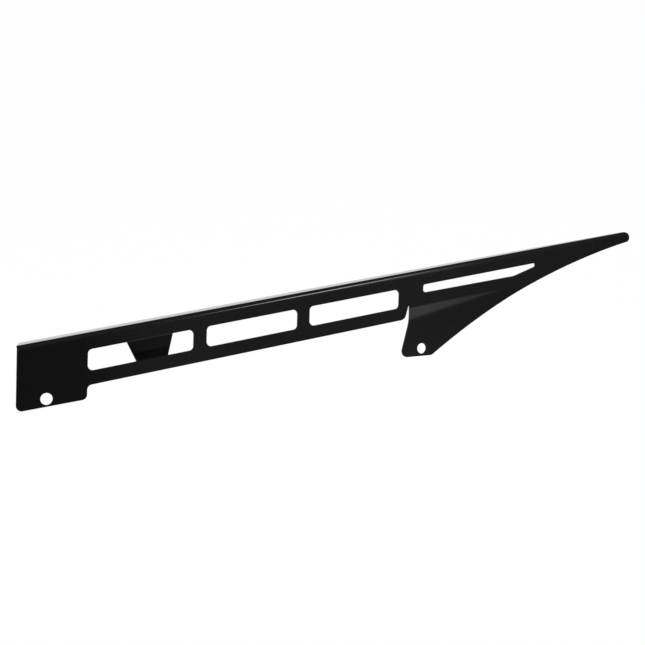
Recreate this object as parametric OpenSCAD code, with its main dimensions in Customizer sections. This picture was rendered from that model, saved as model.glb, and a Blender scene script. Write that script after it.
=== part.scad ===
// Motorcycle chain guard, cut and folded from one piece of sheet.
// X runs along the top fold towards the tail, Y points inboard from the outer
// face, Z is up. The origin is the centre of the front mounting hole.
// The slanted edges are placed where their lines pass the level of that hole.

/* [Sheet] */
// Thickness of the sheet
sheet_t = 1.5; // [1.2:0.1:2]
// Outside radius of the folds
bend_r = 5.2; // [4:0.1:6]

/* [Side wall] */
// Height of the top face above the front hole
top_z = 40.8; // [39:0.2:44]
// Distance from the front hole back to the rear hole
rear_hole_x = 298.4; // [292:0.2:304]
// Distance from the rear hole back to the tip of the tail
tail_l = 228.1; // [212:0.1:245]
// Height of the tail's blunt tip
tip_h = 8.6; // [7:0.2:12]
// Corner radius at the tip
tip_r = 4; // [2:0.25:4]
// Radius of the long hollow curve under the tail
tail_curve_r = 658; // [600:2:900]
// Height of the lower rail's underside above the front hole
rail_z = 3.5; // [2:0.1:5]
// Lean of the front edge and of the window sides, from upright
side_lean = 11.3; // [8:0.1:14]

/* [Front foot] */
// Distance from the front hole forward to the front edge
front_reach = 21.2; // [18:0.2:24]
// Distance from the front hole back to the foot's rear edge
foot_reach = 28.9; // [25:0.1:32]
// Distance from the front hole down to the foot's lower edge
foot_drop = 5.6; // [5.4:0.1:8]
// Fall of the foot's lower edge towards the tail
foot_fall = 1.4; // [0:0.1:2.5]
// Radius of the foot's lower corners
foot_r = 4; // [2:0.5:5]
// Radius of the inside corner between foot and rail
foot_fillet = 4; // [1:0.5:5]

/* [Windows] */
// Height of the rail under the windows
rail_h = 10.1; // [8:0.1:12]
// Height of the windows
window_h = 15.2; // [12:0.1:16]
// Length of the front window
window_front_l = 79.2; // [70:0.1:90]
// Length of the middle window, the rear one takes what is left
window_middle_l = 74.3; // [65:0.1:85]
// Width of the slanted bars between the windows
bar_w = 10.4; // [8:0.1:13]
// Sheet between the rear window and the slit, at the front hole's level
window_end_gap = 5.8; // [4:0.1:8]
// Corner radius of the windows
window_r = 3.5; // [2:0.1:5]

/* [Tail slot] */
// Sheet between the slit and the slot, at the front hole's level
slot_gap = 16.9; // [14:0.1:20]
// Distance from the slot's rear end to the tip of the tail
slot_tail = 104.4; // [95:0.1:115]
// Height of the slot at its front end
slot_front_h = 6.4; // [5:0.1:7]
// Height of the slot where its lower edge turns up
slot_rear_h = 7.4; // [6:0.1:8]
// Length of the part where the lower edge rises to the rear end
slot_rise_l = 22.5; // [20:0.1:26]
// Height of the slot at its rear end
slot_tip_h = 2.8; // [2.6:0.1:3.4]
// Corner radius at the front end
slot_r = 2; // [1:0.1:2.4]
// Corner radius at the rear end
slot_tip_r = 1.2; // [0.8:0.1:1.2]
// Radius that blends the turn of the lower edge
slot_turn_r = 12; // [5:1:30]

/* [Rear tab] */
// Distance from the slit to the rear hole, at the front hole's level
slit_reach = 9.7; // [8:0.1:12]
// Lean of the slit and of the tab's front edge, from upright
slit_lean = 25.4; // [22:0.2:28]
// Width of the slit that parts the tab from the rail
slit_w = 1; // [0.6:0.1:1.4]
// Height of the slit's closed end above the front hole
slit_top_z = 14.9; // [14:0.1:16.5]
// Radius of the rail's free corner beside the slit
rail_end_r = 6; // [3:0.5:7]
// Distance of the rear hole below the front hole
rear_hole_drop = 21.8; // [20:0.2:23]
// Distance from the rear hole down to the tab's lower edge
tab_margin = 6.3; // [5.6:0.1:8]
// Fall of the tab's lower edge towards the tail
tab_fall = 7.1; // [4:0.1:9]
// Distance from the rear hole back to the tab's rear corner
tab_corner_reach = 8.4; // [7.6:0.1:11]
// Radius of the tab's front corner
tab_r = 5; // [3:0.5:6]
// Radius of the tab's rear corner
tab_corner_r = 6; // [3:0.5:8]

/* [Joggle] */
// How far the tab is pressed outward at the slit
joggle_out = 6; // [4:0.2:7]
// Height over which the sheet steps outward at the slit
joggle_h = 12.4; // [10:0.2:14]
// Height of the upper fold line above the front hole
joggle_z = 12.2; // [11.4:0.1:12.6]
// Length from the rear hole to the point where the step has faded out
joggle_run = 98.6; // [90:0.2:104]
// Share of the step's height that each of its two soft folds takes
joggle_soft = 0.22; // [0.15:0.01:0.4]

/* [Top flange] */
// Width of the flange from the outer face to its inner edge
flange_w = 25; // [20:0.5:30]
// How far the inner front corner is set back
flange_setback = 4; // [0:0.5:8]
// Radius of the inner front corner
flange_r = 3; // [1:0.5:6]
// Distance from the front hole to where the flange starts to narrow
taper_x = 200; // [160:5:300]
// Width of the flange at the tip of the tail
flange_tip_w = 7.5; // [6.5:0.5:10]

/* [Inner lug] */
// Distance from the front hole to the middle of the lug
lug_x = 86; // [70:0.2:100]
// Width of the lug at its fold
lug_root_w = 45; // [38:0.5:52]
// Width of the lug at its lower end
lug_tip_w = 21; // [16:0.5:28]
// Length of the lug below the top face
lug_l = 34; // [28:0.5:38]
// Corner radius at the lug's lower end
lug_r = 4; // [1:0.5:6]

/* [Mounting holes] */
// Diameter of the front hole
front_hole_d = 8.5; // [6.5:0.1:9]
// Diameter of the rear hole
rear_hole_d = 8.5; // [6.5:0.1:9]

/* [Hidden] */
black = "#1c1c1c";
round_steps = 10;
curve_steps = 36;
spare = 1;
$fn = 96;

window_z = rail_z + rail_h;
opening_top_z = window_z + window_h;
tail_x = rear_hole_x + tail_l;
slit_x = rear_hole_x - slit_reach;
window_front_x = foot_reach;
window_middle_x = window_front_x + window_front_l + bar_w;
window_rear_x = window_middle_x + window_middle_l + bar_w;
window_rear_l = slit_x - window_end_gap - window_rear_x;
slot_x = slit_x + slot_gap;
slot_end_x = tail_x - slot_tail;
rear_hole_z = -rear_hole_drop;
tip_z = top_z - tip_h;
fade_x = rear_hole_x + joggle_run;
joggle_x = lean_x(slit_x, slit_lean, joggle_z);
tab_turn = atan(joggle_out / (fade_x - joggle_x));
tab_y = -joggle_out * (fade_x - rear_hole_x) / (fade_x - joggle_x);
tab_floor_z = rear_hole_z - tab_margin;
below_z = tab_floor_z - 20;
front_top_x = lean_x(-front_reach, side_lean, top_z);
lug_y = flange_w + bend_r;
lug_z = top_z - lug_l;

// Where a line that passes the front hole's level at x, leaning towards the
// tail, is at height z
function lean_x(x, lean, z) = x + z * tan(lean);

// Height at x of a line through point p that falls towards the tail
function fall_z(p, fall, x) = p[1] - (x - p[0]) * tan(fall);

// Point where the leaning line from x meets the falling line through p
function lean_meets_fall(x, lean, p, fall) =
    let (z = (p[1] - (x - p[0]) * tan(fall)) / (1 + tan(lean) * tan(fall)))
    [lean_x(x, lean, z), z];

// Centre of the circle of radius r through a and b, on the right of a to b
function arc_centre(a, b, r) =
    let (d = b - a, m = (a + b) / 2, h = sqrt(r * r - d * d / 4))
    m + h * [d[1], -d[0]] / norm(d);

// Points from a to b on the circle of radius r, bulging to the left
function arc_through(a, b, r, steps) =
    let (c = arc_centre(a, b, r),
         start = atan2(a[1] - c[1], a[0] - c[0]),
         stop = atan2(b[1] - c[1], b[0] - c[0]))
    [for (i = [1 : steps - 1])
        c + r * [cos(start + (stop - start) * i / steps),
                 sin(start + (stop - start) * i / steps)]];

// Points that round the corner b between a and c with radius r
function corner(a, b, c, r) =
    r == 0 ? [b] :
    let (u = (a - b) / norm(a - b), v = (c - b) / norm(c - b),
         half = acos(u * v) / 2,
         middle = b + (u + v) / norm(u + v) * r / sin(half),
         p = b + u * r / tan(half), q = b + v * r / tan(half),
         start = atan2(p[1] - middle[1], p[0] - middle[0]),
         turn = atan2(q[1] - middle[1], q[0] - middle[0]) - start,
         sweep = turn > 180 ? turn - 360 : turn < -180 ? turn + 360 : turn)
    [for (i = [0 : round_steps])
        middle + r * [cos(start + sweep * i / round_steps),
                      sin(start + sweep * i / round_steps)]];

// Outline from a list of [point, corner radius]
function rounded(list) =
    let (n = len(list))
    [for (i = [0 : n - 1])
        each corner(list[(i + n - 1) % n][0], list[i][0], list[(i + 1) % n][0], list[i][1])];

// Sweeps a side outline, drawn in X and Z, from y0 to y1
module across(y0, y1) {
    translate([0, y1, 0]) rotate([90, 0, 0]) linear_extrude(y1 - y0) children();
}

// Sweeps a cross-section, drawn in Y and Z, from x0 to x1
module along(x0, x1) {
    translate([x0, 0, 0]) rotate([90, 0, 90]) linear_extrude(x1 - x0) children();
}

// Quarter ring of a 90 degree fold, facing up and to the given side
module fold(y, side) {
    translate([y, top_z - bend_r]) intersection() {
        difference() {
            circle(bend_r);
            circle(bend_r - sheet_t);
        }
        translate([side < 0 ? -bend_r : 0, 0]) square(bend_r);
    }
}

// Side wall and flange, joined by the top fold
module angle_section() {
    translate([0, below_z]) square([sheet_t, top_z - bend_r - below_z]);
    fold(bend_r, -1);
    translate([bend_r, top_z - sheet_t]) square([flange_w - bend_r, sheet_t]);
}

// Lug hanging from the flange's inner edge
module lug_section() {
    translate([flange_w - spare, top_z - sheet_t]) square([spare, sheet_t]);
    fold(flange_w, 1);
    translate([lug_y - sheet_t, lug_z]) square([sheet_t, top_z - bend_r - lug_z]);
}

// Side view of the whole guard, before its openings
module side_outline() {
    foot = [0, -foot_drop];
    tab = [rear_hole_x, tab_floor_z];
    tab_front = lean_meets_fall(slit_x + slit_w / 2, slit_lean, tab, tab_fall);
    tab_rear_x = rear_hole_x + tab_corner_reach;
    tab_rear = [tab_rear_x, fall_z(tab, tab_fall, tab_rear_x)];
    tip = [tail_x, tip_z];
    tail_curve = arc_through(tab_rear, tip, tail_curve_r, curve_steps);
    polygon(rounded(concat([
        [[lean_x(-front_reach, side_lean, top_z + spare), top_z + spare], 0],
        [lean_meets_fall(-front_reach, side_lean, foot, foot_fall), foot_r],
        [lean_meets_fall(foot_reach, side_lean, foot, foot_fall), foot_r],
        [[lean_x(foot_reach, side_lean, rail_z), rail_z], foot_fillet],
        [[lean_x(slit_x - slit_w / 2, slit_lean, rail_z), rail_z], rail_end_r],
        [[lean_x(slit_x - slit_w / 2, slit_lean, slit_top_z), slit_top_z], 0],
        [[lean_x(slit_x + slit_w / 2, slit_lean, slit_top_z), slit_top_z], 0],
        [tab_front, tab_r],
        [tab_rear, tab_corner_r]],
        [for (p = tail_curve) [p, 0]],
        [[tip, tip_r],
        [[tail_x, top_z], tip_r],
        [[tail_x - tip_r - spare, top_z], 0],
        [[tail_x - tip_r - 2 * spare, top_z + spare], 0]])));
}

// Window with level edges and leaning sides
module window(x, l) {
    low = lean_x(x, side_lean, window_z);
    high = lean_x(x, side_lean, opening_top_z);
    polygon(rounded([
        [[low, window_z], window_r],
        [[low + l, window_z], window_r],
        [[high + l, opening_top_z], window_r],
        [[high, opening_top_z], window_r]]));
}

// Long slot in the tail: its lower edge falls a little, then turns up
module tail_slot() {
    front_low_z = opening_top_z - slot_front_h;
    polygon(rounded([
        [[lean_x(slot_x, side_lean, front_low_z), front_low_z], slot_r],
        [[slot_end_x - slot_rise_l, opening_top_z - slot_rear_h], slot_turn_r],
        [[slot_end_x, opening_top_z - slot_tip_h], slot_tip_r],
        [[slot_end_x, opening_top_z], slot_tip_r],
        [[lean_x(slot_x, side_lean, opening_top_z), opening_top_z], slot_r]]));
}

// Part of the side view that is pressed outward
module tab_zone() {
    polygon([
        [lean_x(slit_x, slit_lean, joggle_z), joggle_z],
        [lean_x(slit_x, slit_lean, below_z), below_z],
        [fade_x, below_z],
        [fade_x, joggle_z]]);
}

// Plan of the flange: its inner edge curves in towards the tip
module flange_plan() {
    start = [taper_x, flange_w];
    tip = [tail_x, flange_tip_w];
    narrowing = flange_w - flange_tip_w;
    run = tail_x - taper_x;
    taper_r = (run * run + narrowing * narrowing) / (2 * narrowing);
    polygon(rounded(concat([
        [[front_top_x + flange_setback, flange_w], flange_r],
        [start, 0]],
        [for (p = arc_through(start, tip, taper_r, curve_steps)) [p, 0]],
        [[tip, tip_r],
        [[tail_x, -spare], 0],
        [[-front_reach - spare, -spare], 0],
        [[-front_reach - spare, bend_r], 0],
        [[front_top_x, bend_r], 0]])));
}

// How far the step has gone outward at share s of its height, from 0 to 1:
// a soft fold, a straight slope and a second soft fold
function step_out(s) =
    let (a = joggle_soft, k = 2 * a * (1 - a))
    s < a ? s * s / k : s > 1 - a ? 1 - (1 - s) * (1 - s) / k : (s - a / 2) / (1 - a);

// Steepness of the step at share s
function step_slope(s) =
    let (a = joggle_soft)
    min(1, s / a, (1 - s) / a) / (1 - a);

// The step is a cone: every line of its slope runs to the point where it
// fades out, so both folds and the tab's face meet there
module joggled_sheet() {
    soft_steps = 5;
    shares = concat(
        [for (i = [0 : soft_steps]) joggle_soft * i / soft_steps],
        [for (i = [0 : soft_steps]) 1 - joggle_soft + joggle_soft * i / soft_steps]);
    n = len(shares);
    grow = (fade_x - lean_x(slit_x, slit_lean, below_z)) / (fade_x - joggle_x);
    x = fade_x - grow * (fade_x - joggle_x);
    outer = [for (s = shares)
        [x, -grow * joggle_out * step_out(s), joggle_z - grow * joggle_h * s]];
    inner = [for (i = [0 : n - 1])
        let (rise = joggle_out * step_slope(shares[i]),
             slant = norm([joggle_h, rise]))
        [x,
         outer[i][1] + sheet_t * (1 + grow * (joggle_h / slant - 1)),
         outer[i][2] - grow * sheet_t * rise / slant]];
    points = concat(
        outer, [[x, outer[n - 1][1], below_z]],
        inner, [[x, inner[n - 1][1], below_z]],
        [[fade_x, 0, joggle_z], [fade_x, 0, below_z],
         [fade_x, sheet_t, joggle_z], [fade_x, sheet_t, below_z]]);
    out0 = 0;
    in0 = n + 1;
    end = 2 * n + 2;
    faces = concat(
        [for (i = [0 : n - 2]) [end, out0 + i + 1, out0 + i]],
        [[end, end + 1, out0 + n, out0 + n - 1]],
        [for (i = [0 : n - 2]) [end + 2, in0 + i, in0 + i + 1]],
        [[end + 3, end + 2, in0 + n - 1, in0 + n]],
        [[for (i = [0 : n]) out0 + i, for (i = [n : -1 : 0]) in0 + i]],
        [[end + 2, end + 3, end + 1, end]],
        [[in0, end + 2, end, out0]],
        [[end + 1, end + 3, in0 + n, out0 + n]]);
    polyhedron(points, faces);
}

// Flat side wall with the top flange, cut to the side and plan outlines
module wall_and_flange() {
    intersection() {
        along(-front_reach - foot_drop, tail_x + spare) angle_section();
        across(-spare, flange_w + spare) difference() {
            side_outline();
            tab_zone();
            window(window_front_x, window_front_l);
            window(window_middle_x, window_middle_l);
            window(window_rear_x, window_rear_l);
            tail_slot();
        }
        translate([0, 0, below_z]) linear_extrude(top_z + spare - below_z) flange_plan();
    }
}

// Tab pressed outward below the conical step
module rear_tab() {
    intersection() {
        joggled_sheet();
        across(-3 * joggle_out, sheet_t + spare) intersection() {
            side_outline();
            tab_zone();
        }
    }
}

// Tapered lug folded down from the flange's inner edge
module inner_lug() {
    root_z = top_z - bend_r;
    intersection() {
        along(lug_x - lug_root_w, lug_x + lug_root_w) lug_section();
        across(flange_w - 2 * spare, lug_y + spare) polygon(rounded([
            [[lug_x - lug_root_w / 2, top_z + spare], 0],
            [[lug_x - lug_root_w / 2, root_z], 0],
            [[lug_x - lug_tip_w / 2, lug_z], lug_r],
            [[lug_x + lug_tip_w / 2, lug_z], lug_r],
            [[lug_x + lug_root_w / 2, root_z], 0],
            [[lug_x + lug_root_w / 2, top_z + spare], 0]]));
    }
}

// Hole through the sheet, square to its face
module mounting_hole(x, y, z, turn, d) {
    translate([x, y, z]) rotate([0, 0, turn]) rotate([90, 0, 0])
        cylinder(h = 4 * sheet_t, d = d, center = true);
}

module chain_guard() {
    color(black) difference() {
        union() {
            wall_and_flange();
            rear_tab();
            inner_lug();
        }
        mounting_hole(0, sheet_t / 2, 0, 0, front_hole_d);
        mounting_hole(rear_hole_x, tab_y + sheet_t / 2, rear_hole_z, tab_turn, rear_hole_d);
    }
}

chain_guard();
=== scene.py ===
# Looks of a motorcycle chain guard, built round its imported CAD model.
# Metres in Blender, millimetres where a size is written, in the model's frame:
# X along the top fold towards the tail, Y inboard, Z up.

import math

import bpy
from mathutils import Matrix, Vector
from mathutils.geometry import delaunay_2d_cdt


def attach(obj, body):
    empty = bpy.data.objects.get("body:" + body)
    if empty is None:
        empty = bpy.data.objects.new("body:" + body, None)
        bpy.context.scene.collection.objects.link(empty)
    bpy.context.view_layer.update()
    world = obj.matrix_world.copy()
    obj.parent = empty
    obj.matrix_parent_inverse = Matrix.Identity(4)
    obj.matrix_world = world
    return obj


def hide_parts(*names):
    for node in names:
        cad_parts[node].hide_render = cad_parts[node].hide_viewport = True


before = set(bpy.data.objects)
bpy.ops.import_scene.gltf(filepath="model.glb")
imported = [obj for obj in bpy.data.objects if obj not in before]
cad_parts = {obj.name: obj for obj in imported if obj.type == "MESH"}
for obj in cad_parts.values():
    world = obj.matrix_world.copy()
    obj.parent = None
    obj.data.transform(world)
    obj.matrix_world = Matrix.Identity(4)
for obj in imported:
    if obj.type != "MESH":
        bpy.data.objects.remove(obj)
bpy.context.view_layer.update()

# Chain guard: one blank of 1.5 mm steel sheet, cut out with its windows, slot,
# slit and holes, folded over a bar along the top and pressed out at the rear
# tab, then dipped in gloss black enamel, which rounds every cut edge a little.
SHEET = 1.5
EDGE_ROUND = 0.2
BEND = 5.2
TOP_Z = 40.8
FOLD_Z = TOP_Z - BEND
RAIL_Z = 3.5
REAR_HOLE_X = 298.4
TAIL_X = REAR_HOLE_X + 228.1
SIDE_LEAN = 11.3
FRONT_REACH = 21.2
FOOT_REACH = 28.9
SLIT_X = REAR_HOLE_X - 9.7
SLIT_LEAN = 25.4
SLIT_HALF = 0.5
FLANGE_W = 25


def lean_x(x, lean, z):
    """Where an edge that passes the front hole's level at x is at height z."""
    return x + z * math.tan(math.radians(lean))


def lean_meets_fall(x, lean, start, fall):
    """Where a leaning edge meets one that falls towards the tail from start."""
    slant = math.tan(math.radians(lean))
    drop = math.tan(math.radians(fall))
    z = (start[1] - (x - start[0]) * drop) / (1 + slant * drop)
    return (x + z * slant, z)


def arc_through(a, b, radius, steps):
    """Points between a and b on a circle that bulges to the left of a to b."""
    a, b = Vector(a), Vector(b)
    chord = b - a
    side = Vector((chord.y, -chord.x)).normalized()
    centre = (a + b) / 2 + side * math.sqrt(radius**2 - chord.length**2 / 4)
    start = math.atan2(a.y - centre.y, a.x - centre.x)
    stop = math.atan2(b.y - centre.y, b.x - centre.x)
    turns = [start + (stop - start) * i / steps for i in range(1, steps)]
    return [(centre.x + radius * math.cos(t), centre.y + radius * math.sin(t)) for t in turns]


def rounded(corners, steps=12):
    """Closed outline from (point, corner radius) pairs."""
    outline = []
    for i, (point, radius) in enumerate(corners):
        if radius == 0:
            outline.append(tuple(point))
            continue
        here = Vector(point)
        back = (Vector(corners[i - 1][0]) - here).normalized()
        ahead = (Vector(corners[(i + 1) % len(corners)][0]) - here).normalized()
        half = back.angle(ahead) / 2
        centre = here + (back + ahead).normalized() * radius / math.sin(half)
        first = here + back * radius / math.tan(half) - centre
        last = here + ahead * radius / math.tan(half) - centre
        start = math.atan2(first.y, first.x)
        sweep = math.remainder(math.atan2(last.y, last.x) - start, 2 * math.pi)
        for k in range(steps + 1):
            turn = start + sweep * k / steps
            outline.append(
                (centre.x + radius * math.cos(turn), centre.y + radius * math.sin(turn))
            )
    return outline


# On the flat blank, the second coordinate runs up the outer face of the wall,
# round the top fold, over the flange, round the lug's fold and down the lug.
QUARTER_BEND = BEND * math.pi / 2
FLANGE_FROM = FOLD_Z + QUARTER_BEND
LUG_BEND_FROM = FLANGE_FROM + FLANGE_W - BEND
LUG_FROM = LUG_BEND_FROM + QUARTER_BEND


def up_fold(z):
    """Blank coordinate of a height on the wall or on the top fold."""
    if z <= FOLD_Z:
        return z
    return FOLD_Z + BEND * math.asin(min(1, (z - FOLD_Z) / BEND))


def over_flange(y):
    """Blank coordinate of a distance in from the outer face, on the flange."""
    return FLANGE_FROM + y - BEND


def front_edge():
    """Front edge across the top fold, from the flange down to the wall."""
    degrees = range(90, -1, -10)
    heights = [FOLD_Z + BEND * math.sin(math.radians(t)) for t in degrees]
    return [(lean_x(-FRONT_REACH, SIDE_LEAN, z), up_fold(z)) for z in heights]


def tip_edge(radius):
    """Rounded upper corner of the tail across the top fold."""
    degrees = range(0, 91, 9)
    low = TOP_Z - radius
    heights = [low + radius * math.sin(math.radians(t)) for t in degrees]
    return [
        (TAIL_X - radius + math.sqrt(max(0, radius**2 - (z - low) ** 2)), up_fold(z))
        for z in heights
    ]


def underside():
    """Lower edge from the foot's front corner to the tail's tip."""
    foot = (0, -5.6)
    foot_fall = 1.4
    foot_r = 4
    rail_front_r = 4
    rail_rear_r = 6
    slit_top_z = 13.9
    slit_end_r = 0.45
    left_slit = SLIT_X - SLIT_HALF
    right_slit = SLIT_X + SLIT_HALF
    tab = (REAR_HOLE_X, -28.1)
    tab_fall = 7.1
    tab_reach = 8.4
    tab_front_r = 5
    tab_rear_r = 6
    tab_rear = (tab[0] + tab_reach, tab[1] - tab_reach * math.tan(math.radians(tab_fall)))
    tip_h = 8.6
    tip_r = 4
    tip = (TAIL_X, TOP_Z - tip_h)
    curve_r = 658
    curve_steps = 48
    corners = [
        (lean_meets_fall(-FRONT_REACH, SIDE_LEAN, foot, foot_fall), foot_r),
        (lean_meets_fall(FOOT_REACH, SIDE_LEAN, foot, foot_fall), foot_r),
        ((lean_x(FOOT_REACH, SIDE_LEAN, RAIL_Z), RAIL_Z), rail_front_r),
        ((lean_x(left_slit, SLIT_LEAN, RAIL_Z), RAIL_Z), rail_rear_r),
        ((lean_x(left_slit, SLIT_LEAN, slit_top_z), slit_top_z), slit_end_r),
        ((lean_x(right_slit, SLIT_LEAN, slit_top_z), slit_top_z), slit_end_r),
        (lean_meets_fall(right_slit, SLIT_LEAN, tab, tab_fall), tab_front_r),
        (tab_rear, tab_rear_r),
    ]
    corners += [(p, 0) for p in arc_through(tab_rear, tip, curve_r, curve_steps)]
    return corners + [(tip, tip_r)]


def tail_end():
    """The tail's upper corner, and the flange, which narrows towards it on an arc."""
    tip_top_r = 2.5
    tip_flange_r = 1
    tip_flange_w = 7.5
    taper_x = 200
    taper_steps = 36
    corner_room = 2
    run = TAIL_X - taper_x
    narrowing = FLANGE_W - tip_flange_w
    taper_r = (run**2 + narrowing**2) / (2 * narrowing)
    end_x = TAIL_X - tip_top_r
    taper = arc_through((taper_x, FLANGE_W), (TAIL_X, tip_flange_w), taper_r, taper_steps)
    taper = [p for p in taper if p[0] < end_x - corner_room]
    corners = [(p, 0) for p in tip_edge(tip_top_r)]
    corners += [((end_x, over_flange(tip_flange_w)), tip_flange_r)]
    corners += [((x, over_flange(y)), 0) for x, y in reversed(taper)]
    return corners + [((taper_x, over_flange(FLANGE_W)), 0)]


def lug():
    """The lug that folds down from the flange behind the front window. Its front
    edge is the steeper one."""
    middle_x = 86
    root_rear = middle_x + 22.5
    root_front = middle_x - 20.7
    end_rear = middle_x + 10.5
    end_front = middle_x - 12.2
    end_z = 6.8
    end_r = 4
    relief_r = 1
    end = LUG_FROM + FOLD_Z - end_z
    return [
        ((root_rear, over_flange(FLANGE_W)), relief_r),
        ((root_rear, LUG_FROM), 0),
        ((end_rear, end), end_r),
        ((end_front, end), end_r),
        ((root_front, LUG_FROM), 0),
        ((root_front, over_flange(FLANGE_W)), relief_r),
    ]


def blank_outline():
    """Outer edge of the blank, anticlockwise from the flange's front corner."""
    flange_setback = 4
    flange_front_r = 3
    front_x = lean_x(-FRONT_REACH, SIDE_LEAN, TOP_Z) + flange_setback
    corners = [((front_x, over_flange(FLANGE_W)), flange_front_r)]
    corners += [(p, 0) for p in front_edge()]
    return rounded(corners + underside() + tail_end() + lug())


def window(x, length, low, high, radius):
    """Window with level edges and leaning sides."""
    left_low, left_high = lean_x(x, SIDE_LEAN, low), lean_x(x, SIDE_LEAN, high)
    return rounded([
        ((left_low, low), radius),
        ((left_low + length, low), radius),
        ((left_high + length, high), radius),
        ((left_high, high), radius),
    ])


def tail_slot(high):
    """Long slot in the tail, whose lower edge turns up towards its rear end."""
    x = SLIT_X + 16.9
    end_x = TAIL_X - 104.4
    turn_x = end_x - 22.5
    front_h = 6.4
    turn_h = 7.4
    end_h = 2.8
    front_r = 2
    turn_r = 12
    end_r = 1.2
    low = high - front_h
    return rounded([
        ((lean_x(x, SIDE_LEAN, low), low), front_r),
        ((turn_x, high - turn_h), turn_r),
        ((end_x, high - end_h), end_r),
        ((end_x, high), end_r),
        ((lean_x(x, SIDE_LEAN, high), high), front_r),
    ])


# The tab's step fades out towards the tail. Its upper fold is crisp and keeps
# its width, and its lower fold is softer where the step is high.
JOGGLE_OUT = 6
JOGGLE_SLOPE = 0.545
JOGGLE_Z = 12.6
UPPER_FOLD = 1.8
LOWER_SOFTNESS = 0.6
FULL_STEP_Z = 12.2
FADE_X = REAR_HOLE_X + 98.6
FADE_BLEND = 8
JOGGLE_RUN = FADE_X - lean_x(SLIT_X, SLIT_LEAN, FULL_STEP_Z)


def step_shape(x):
    """Height between the step's two folds at x, and the lower fold's width."""
    left = FADE_X - x
    if left < FADE_BLEND:
        left = max(0, left + FADE_BLEND) ** 2 / (4 * FADE_BLEND)
    height = JOGGLE_OUT * left / JOGGLE_RUN / JOGGLE_SLOPE
    return height, UPPER_FOLD + LOWER_SOFTNESS * height


def past_fold(depth, width):
    """Run of a slope that starts gradually, over a fold of the given width."""
    if depth > width / 2:
        return depth
    return max(0, depth + width / 2) ** 2 / (2 * width)


def pressed_out(x, z):
    """How far the tab stands out from the wall's plane."""
    if x < lean_x(SLIT_X, SLIT_LEAN, z):
        return 0
    height, lower_fold = step_shape(x)
    depth = JOGGLE_Z - z
    return JOGGLE_SLOPE * (past_fold(depth, UPPER_FOLD) - past_fold(depth - height, lower_fold))


def round_hole(x, z, radius, squeeze=1, steps=72):
    """Bolt hole, as the side view shows it."""
    turns = [2 * math.pi * i / steps for i in range(steps)]
    return [(x + squeeze * radius * math.cos(t), z + radius * math.sin(t)) for t in turns]


def openings():
    """All the openings in the side wall."""
    rail_h = 10.1
    window_h = 15.2
    window_r = 3.5
    front_l = 79.2
    middle_l = 74.3
    bar = 10.4
    slit_bar = 5.8
    bore_r = 4.25
    rear_hole_z = -21.8
    low = RAIL_Z + rail_h
    high = low + window_h
    middle_x = FOOT_REACH + front_l + bar
    rear_x = middle_x + middle_l + bar
    rear_l = SLIT_X - slit_bar - rear_x
    tab_squeeze = math.cos(math.atan(JOGGLE_OUT / JOGGLE_RUN))
    return [
        window(FOOT_REACH, front_l, low, high, window_r),
        window(middle_x, middle_l, low, high, window_r),
        window(rear_x, rear_l, low, high, window_r),
        tail_slot(high),
        round_hole(0, 0, bore_r),
        round_hole(REAR_HOLE_X, rear_hole_z, bore_r, tab_squeeze),
    ]


def folded(x, s):
    """Place on the outer face, its outward normal and the two ways along it. On
    the wall, the slopes come from how far the tab stands out a short step on."""
    ahead = Vector((1, 0, 0))
    if s <= FOLD_Z:
        out = pressed_out(x, s)
        step = 0.01
        out_x = (pressed_out(x + step, s) - out) / step
        out_z = (pressed_out(x, s + step) - out) / step
        normal = -Vector((out_x, 1, out_z)).normalized()
        return Vector((x, -out, s)), normal, Vector((1, -out_x, 0)), Vector((0, -out_z, 1))
    if s <= LUG_BEND_FROM:
        turn = min(1, (s - FOLD_Z) / QUARTER_BEND) * math.pi / 2
        centre = Vector((x, BEND + max(0, s - FLANGE_FROM), FOLD_Z))
    else:
        turn = (1 + min(1, (s - LUG_BEND_FROM) / QUARTER_BEND)) * math.pi / 2
        centre = Vector((x, FLANGE_W, FOLD_Z - max(0, s - LUG_FROM)))
    normal = Vector((0, -math.cos(turn), math.sin(turn)))
    return centre + BEND * normal, normal, ahead, Vector((0, math.sin(turn), math.cos(turn)))


def outward(before, here, after):
    """Unit way out of the sheet at a point of its edge, and its mitre length,
    which is held to twice the edge's at the sharpest corners."""
    first = Vector((here[1] - before[1], before[0] - here[0])).normalized()
    second = Vector((after[1] - here[1], here[0] - after[0])).normalized()
    way = (first + second).normalized()
    return way, 1 / max(0.5, way.dot(first))


def drawn_in(loop, distance):
    """The edge moved into the sheet, which lies on its left."""
    moved = []
    for i, here in enumerate(loop):
        way, mitre = outward(loop[i - 1], here, loop[(i + 1) % len(loop)])
        moved.append(tuple(Vector(here) - way * mitre * distance))
    return moved


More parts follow.
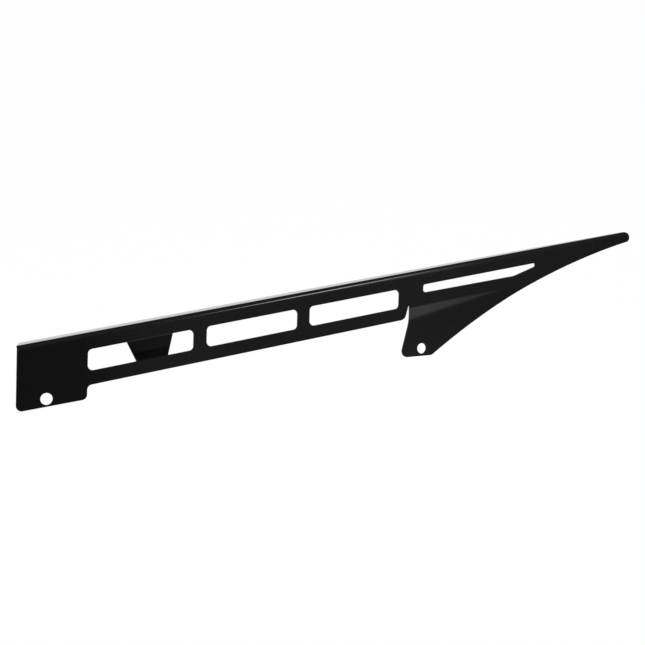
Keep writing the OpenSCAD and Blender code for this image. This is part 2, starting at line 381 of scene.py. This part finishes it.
def crease_lines():
    """Lines on the blank that the folds, the step and its fade need."""
    fold_steps = 12
    front_x = -40
    rear_x = TAIL_X + 10
    rows = 14
    stations = 34
    settle_rounds = 4
    fade_steps = 8
    lowest = -10
    across = [FOLD_Z + QUARTER_BEND * i / fold_steps for i in range(fold_steps + 1)]
    across += [LUG_BEND_FROM + QUARTER_BEND * i / fold_steps for i in range(fold_steps + 1)]
    lines = [[(front_x, s), (rear_x, s)] for s in across]
    end_x = FADE_X + FADE_BLEND
    for row in range(rows + 1):
        line = []
        for i in range(stations + 1):
            z = JOGGLE_Z
            # The slit leans, so a line's height and its first x settle together.
            for _ in range(settle_rounds):
                from_x = lean_x(SLIT_X, SLIT_LEAN, z)
                x = from_x + (end_x - from_x) * i / stations
                height, lower_fold = step_shape(x)
                span = height + (UPPER_FOLD + lower_fold) / 2
                z = JOGGLE_Z + UPPER_FOLD / 2 - span * row / rows
            line.append((x, z))
        lines.append(line)
    for i in range(fade_steps + 1):
        x = FADE_X + FADE_BLEND * (2 * i / fade_steps - 1)
        lines.append([(x, JOGGLE_Z + UPPER_FOLD / 2), (x, lowest)])
    return lines


def inside(loops, x, y):
    """Whether a point of the blank is sheet, not an opening."""
    within = False
    for loop in loops:
        for i, (bx, by) in enumerate(loop):
            ax, ay = loop[i - 1]
            if (ay > y) != (by > y) and x < ax + (y - ay) / (by - ay) * (bx - ax):
                within = not within
    return within


def flat_faces():
    """Triangles of the flat blank, inside its rounded edges."""
    whole_hull = 0
    nearness = 1e-5
    loops = [drawn_in(blank_outline(), EDGE_ROUND)]
    loops += [drawn_in(loop[::-1], EDGE_ROUND) for loop in openings()]
    points, edges = [], []
    for line, closed in [(p, True) for p in loops] + [(p, False) for p in crease_lines()]:
        base = len(points)
        points += [Vector(p) for p in line]
        edges += [(base + i, base + i + 1) for i in range(len(line) - 1)]
        if closed:
            edges.append((base + len(line) - 1, base))
    found, _, faces, *_ = delaunay_2d_cdt(points, edges, [], whole_hull, nearness, False)
    kept = []
    for face in faces:
        middle = sum((found[i] for i in face), Vector((0, 0))) / 3
        if inside(loops, middle.x, middle.y):
            kept.append(face)
    used = sorted({i for face in kept for i in face})
    renumber = {old: new for new, old in enumerate(used)}
    return [found[i] for i in used], [[renumber[i] for i in face] for face in kept]


def sheet_mesh():
    """Both faces of the folded sheet and its rounded edge."""
    flat, triangles = flat_faces()
    count = len(flat)
    points, normals = [], []
    # The outer and the inner face.
    for depth, sign in ((0, 1), (SHEET, -1)):
        for x, s in flat:
            place, normal, _, _ = folded(x, s)
            points.append(place - normal * depth)
            normals.append(normal * sign)
    faces = [list(t) for t in triangles]
    faces += [[i + count for i in reversed(t)] for t in triangles]
    # The edge, in rows that turn round from the outer face to the inner one.
    sides = {(t[i], t[(i + 1) % 3]) for t in triangles for i in range(3)}
    rim = {a: b for a, b in sides if (b, a) not in sides}
    before = {b: a for a, b in rim.items()}
    quarter = [math.radians(t) for t in (22.5, 45, 67.5, 90)]
    rows = [(t, 1) for t in quarter] + [(t, -1) for t in reversed(quarter)]
    ring = {}
    for here in rim:
        way, mitre = outward(flat[before[here]], flat[here], flat[rim[here]])
        ring[here] = [here]
        for turn, sign in rows:
            x, s = flat[here] + way * mitre * EDGE_ROUND * math.sin(turn)
            depth = EDGE_ROUND * (1 - math.cos(turn))
            place, normal, along, up = folded(x, s)
            out = along * way.x + up * way.y
            out = (out - normal * out.dot(normal)).normalized()
            ring[here].append(len(points))
            points.append(place - normal * (depth if sign > 0 else SHEET - depth))
            normals.append(normal * sign * math.cos(turn) + out * math.sin(turn))
        ring[here].append(here + count)
    for a, b in rim.items():
        for i in range(len(rows) + 1):
            faces.append([ring[b][i], ring[a][i], ring[a][i + 1], ring[b][i + 1]])
    mesh = bpy.data.meshes.new("guard")
    mesh.from_pydata([p / 1000 for p in points], [], faces)
    mesh.polygons.foreach_set("use_smooth", [True] * len(faces))
    mesh.normals_split_custom_set_from_vertices([n.normalized() for n in normals])
    return mesh


def linear(hex_colour):
    """Linear colour of an sRGB hex value such as #101010."""
    parts = [int(hex_colour[i : i + 2], 16) / 255 for i in (1, 3, 5)]
    return [p / 12.92 if p <= 0.04045 else ((p + 0.055) / 1.055) ** 2.4 for p in parts] + [1]


def add(tree, kind, settings=None, **links):
    """Adds a node. A link is named for the socket that it goes into, with _ for a
    space, or _0, _1 and so on for the socket's number."""
    node = tree.nodes.new(kind)
    for name, value in (settings or {}).items():
        if name in node.inputs:
            node.inputs[name].default_value = value
        else:
            setattr(node, name, value)
    for name, source in links.items():
        if name[1:].isdigit():
            socket = node.inputs[int(name[1:])]
        else:
            socket = node.inputs[name.replace("_", " ")]
        tree.links.new(source, socket)
    return node


def gloss_black_enamel():
    """Stoved enamel on steel: a deep black under a smooth film of its own, with
    the faint orange peel of paint that has run level while it dried. It mirrors
    the room softly, and its black and its gloss vary a little along the guard."""
    # The width and depth of the peel's cells and the width of the variation.
    peel_cell = 3.03
    peel_depth = 0.0015
    cloud_cell = 40
    material = bpy.data.materials.new("gloss_black_enamel")
    material.use_nodes = True
    tree = material.node_tree
    tree.nodes.clear()
    place = add(tree, "ShaderNodeTexCoord")
    peel = add(
        tree,
        "ShaderNodeTexNoise",
        {"Scale": 1000 / peel_cell, "Detail": 1},
        Vector=place.outputs["Object"],
    )
    level = add(
        tree,
        "ShaderNodeBump",
        {"Strength": 1, "Distance": peel_depth / 1000},
        Height=peel.outputs[0],
    )
    cloud = add(
        tree,
        "ShaderNodeTexNoise",
        {"Scale": 1000 / cloud_cell, "Detail": 3},
        Vector=place.outputs["Object"],
    )
    black = add(tree, "ShaderNodeValToRGB", Fac=cloud.outputs[0])
    black.color_ramp.elements[0].color = linear("#0e0e0e")
    black.color_ramp.elements[1].color = linear("#111111")
    haze = add(tree, "ShaderNodeMapRange", {"To Min": 0.1, "To Max": 0.14}, Value=cloud.outputs[0])
    shader = add(
        tree,
        "ShaderNodeBsdfPrincipled",
        {"IOR": 1.5, "Metallic": 0},
        Base_Color=black.outputs[0],
        Roughness=haze.outputs[0],
        Normal=level.outputs[0],
    )
    add(tree, "ShaderNodeOutputMaterial", Surface=shader.outputs[0])
    return material


guard = bpy.data.objects.new("guard", sheet_mesh())
guard.data.materials.append(gloss_black_enamel())
bpy.context.collection.objects.link(guard)
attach(guard, "root")
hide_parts("chain_guard")

# Paper sweep: a matt white sheet that lies under the guard and curves up
# behind it. The top of the flange mirrors its upright part.
SWEEP_FLOOR = -330
SWEEP_FRONT = -1200
SWEEP_BACK = 1900
SWEEP_TOP = 1000
SWEEP_BEND = 500
SWEEP_HALF = 3000


def white_paper():
    """Matt white paper. To the camera and in gloss it shows nearly plain white,
    and the rest of what they see is the lit paper, which keeps the shadow. From
    behind it isn't there, so that the back of the guard can be seen."""
    plain_share = 0.93
    material = bpy.data.materials.new("white_paper")
    material.use_nodes = True
    tree = material.node_tree
    tree.nodes.clear()
    path = add(tree, "ShaderNodeLightPath")
    side = add(tree, "ShaderNodeNewGeometry")
    glossy = add(
        tree,
        "ShaderNodeMath",
        {"operation": "ADD"},
        _0=path.outputs["Is Camera Ray"],
        _1=path.outputs["Is Glossy Ray"],
    )
    seen = add(
        tree,
        "ShaderNodeMath",
        {"operation": "ADD", "use_clamp": True},
        _0=glossy.outputs[0],
        _1=path.outputs["Is Transmission Ray"],
    )
    share = add(tree, "ShaderNodeMath", {"operation": "MULTIPLY"}, _0=seen.outputs[0])
    share.inputs[1].default_value = plain_share
    matt = add(tree, "ShaderNodeBsdfDiffuse", {"Color": linear("#f4f4f4")})
    plain = add(tree, "ShaderNodeEmission", {"Color": (1, 1, 1, 1), "Strength": 1})
    paper = add(
        tree,
        "ShaderNodeMixShader",
        _0=share.outputs[0],
        _1=matt.outputs[0],
        _2=plain.outputs[0],
    )
    clear = add(tree, "ShaderNodeBsdfTransparent")
    both = add(
        tree,
        "ShaderNodeMixShader",
        _0=side.outputs["Backfacing"],
        _1=paper.outputs[0],
        _2=clear.outputs[0],
    )
    add(tree, "ShaderNodeOutputMaterial", Surface=both.outputs[0])
    return material


def sweep_mesh():
    """The paper's profile, drawn from its front edge, and stretched along X."""
    steps = 16
    profile = [(SWEEP_FRONT, SWEEP_FLOOR)]
    for i in range(steps + 1):
        turn = math.radians(90 * i / steps)
        y = SWEEP_BACK - SWEEP_BEND + SWEEP_BEND * math.sin(turn)
        profile.append((y, SWEEP_FLOOR + SWEEP_BEND * (1 - math.cos(turn))))
    profile.append((SWEEP_BACK, SWEEP_TOP))
    ends = (-SWEEP_HALF, SWEEP_HALF)
    points = [(x / 1000, y / 1000, z / 1000) for y, z in profile for x in ends]
    faces = [(i, i + 1, i + 3, i + 2) for i in range(0, len(points) - 2, 2)]
    mesh = bpy.data.meshes.new("paper_sweep")
    mesh.from_pydata(points, [], faces)
    mesh.polygons.foreach_set("use_smooth", [True] * len(faces))
    return mesh


sweep = bpy.data.objects.new("paper_sweep", sweep_mesh())
sweep.data.materials.append(white_paper())
bpy.context.collection.objects.link(sweep)

# Studio room: white to the camera, and dim in the enamel, whose gloss mirrors
# it. It is dark to the left and brighter to the right, where a bounce panel
# shows in the tab's step, and a lamp over it in the top fold. The ramp gives
# the room's level for the X of the way that is looked.
ROOM_RAMP = (
    (0, 0.015),
    (0.135, 0.018),
    (0.22, 0.205),
    (0.3, 0.15),
    (0.48, 0.195),
    (0.57, 0.16),
    (0.62, 0.11),
)
CEILING = 0.16


def panel(tree, way, alpha, slant, half_long, half_across, core, strength):
    """A soft patch of light, even over its core. way is the X of its middle,
    alpha its turn up from the front, and slant how far its length leans."""
    half_deep = 0.5
    rest = math.sqrt(1 - way**2)
    turn = math.radians(alpha)
    lean = math.radians(slant)
    middle = Vector((way, -rest * math.cos(turn), rest * math.sin(turn)))
    level_way = (Vector((1, 0, 0)) - middle * way).normalized()
    long_way = level_way * math.cos(lean) + middle.cross(level_way) * math.sin(lean)
    axes = Matrix((long_way, middle.cross(long_way), middle)).transposed()
    ray = add(tree, "ShaderNodeTexCoord")
    patch = add(
        tree,
        "ShaderNodeMapping",
        {
            "vector_type": "TEXTURE",
            "Location": middle,
            "Rotation": axes.to_euler(),
            "Scale": (half_long, half_across, half_deep),
        },
        Vector=ray.outputs["Generated"],
    )
    fall = add(
        tree,
        "ShaderNodeTexGradient",
        {"gradient_type": "SPHERICAL"},
        Vector=patch.outputs[0],
    )
    return add(
        tree,
        "ShaderNodeMapRange",
        {"From Max": 1 - core, "To Max": strength},
        Value=fall.outputs[1],
    )


def studio_room():
    """World: what the enamel mirrors and what the camera sees behind it."""
    world = bpy.data.worlds.new("studio_room")
    world.use_nodes = True
    tree = world.node_tree
    tree.nodes.clear()
    ray = add(tree, "ShaderNodeTexCoord")
    way = add(tree, "ShaderNodeSeparateXYZ", _0=ray.outputs["Generated"])
    walls = add(tree, "ShaderNodeValToRGB", Fac=way.outputs["X"])
    ramp = walls.color_ramp
    while len(ramp.elements) < len(ROOM_RAMP):
        ramp.elements.new(1)
    for element, (place, level) in zip(ramp.elements, ROOM_RAMP):
        element.position = place
        element.color = (level, level, level, 1)
    high = add(
        tree,
        "ShaderNodeMapRange",
        {"From Min": 0.6, "From Max": 0.8},
        Value=way.outputs["Z"],
    )
    upper = add(tree, "ShaderNodeMix", _0=high.outputs[0], _2=walls.outputs[0])
    upper.inputs[3].default_value = CEILING
    rear = add(
        tree,
        "ShaderNodeMapRange",
        {"From Min": -0.1, "From Max": 0.2, "To Min": 1, "To Max": 0.5},
        Value=way.outputs["Y"],
    )
    room = add(
        tree,
        "ShaderNodeMath",
        {"operation": "MULTIPLY"},
        _0=upper.outputs[0],
        _1=rear.outputs[0],
    )
    bounce = panel(
        tree,
        way=0.46,
        alpha=49,
        slant=95,
        half_long=0.34,
        half_across=0.1,
        core=0.05,
        strength=0.8,
    )
    lamp = panel(
        tree,
        way=0.38,
        alpha=61,
        slant=60,
        half_long=0.245,
        half_across=0.074,
        core=0.2,
        strength=11.5,
    )
    lit = add(
        tree,
        "ShaderNodeMath",
        {"operation": "ADD"},
        _0=room.outputs[0],
        _1=bounce.outputs[0],
    )
    mirrored = add(
        tree,
        "ShaderNodeMath",
        {"operation": "ADD"},
        _0=lit.outputs[0],
        _1=lamp.outputs[0],
    )
    path = add(tree, "ShaderNodeLightPath")
    shown = add(
        tree,
        "ShaderNodeMix",
        _0=path.outputs["Is Camera Ray"],
        _2=mirrored.outputs[0],
    )
    shown.inputs[3].default_value = 1
    back = add(
        tree,
        "ShaderNodeBackground",
        {"Color": (1, 1, 1, 1)},
        Strength=shown.outputs[0],
    )
    add(tree, "ShaderNodeOutputWorld", Surface=back.outputs[0])
    return world


bpy.context.scene.world = studio_room()

# Soft fill: two large lamps at the front corners and one behind, placed in
# metres, which light the paint's own colour at a plain level and don't show in
# its gloss.
FILL_SIZE = 3.2
FILL_AIM = (0.25, 0, 0.01)


def fill_lamp(name, place, watts):
    """Large square lamp that faces the middle of the guard."""
    light = bpy.data.lights.new(name, "AREA")
    light.size = FILL_SIZE
    light.energy = watts
    lamp = bpy.data.objects.new(name, light)
    lamp.location = place
    aim = Vector(FILL_AIM) - Vector(place)
    lamp.rotation_euler = aim.to_track_quat("-Z", "Y").to_euler()
    lamp.visible_glossy = False
    lamp.visible_camera = False
    bpy.context.collection.objects.link(lamp)


fill_lamp("fill_left", place=(-3.5, -3.4, 2.6), watts=165)
fill_lamp("fill_right", place=(4, -3.4, 2.6), watts=165)
fill_lamp("fill_back", place=(0.25, 1.8, 3.6), watts=105)

# Camera: where the photograph was taken from, worked out from the windows'
# edges, the rails and the round holes.
CAMERA_PLACE = (-69.07, -708.55, 101.67)
CAMERA_RIGHT = (0.90975, -0.38644, -0.1517)
CAMERA_UP = (0.18348, 0.04649, 0.98192)
CAMERA_AHEAD = (0.3724, 0.92114, -0.1132)
SENSOR_W = 36
LENS = 54.337

view = bpy.data.cameras.new("photograph")
view.sensor_width = SENSOR_W
view.lens = LENS
camera = bpy.data.objects.new("photograph", view)
turned = Matrix((CAMERA_RIGHT, CAMERA_UP, [-a for a in CAMERA_AHEAD])).transposed()
camera.matrix_world = Matrix.Translation(Vector(CAMERA_PLACE) / 1000) @ turned.to_4x4()
bpy.context.collection.objects.link(camera)
bpy.context.scene.camera = camera

bpy.context.scene.view_settings.view_transform = "Standard"
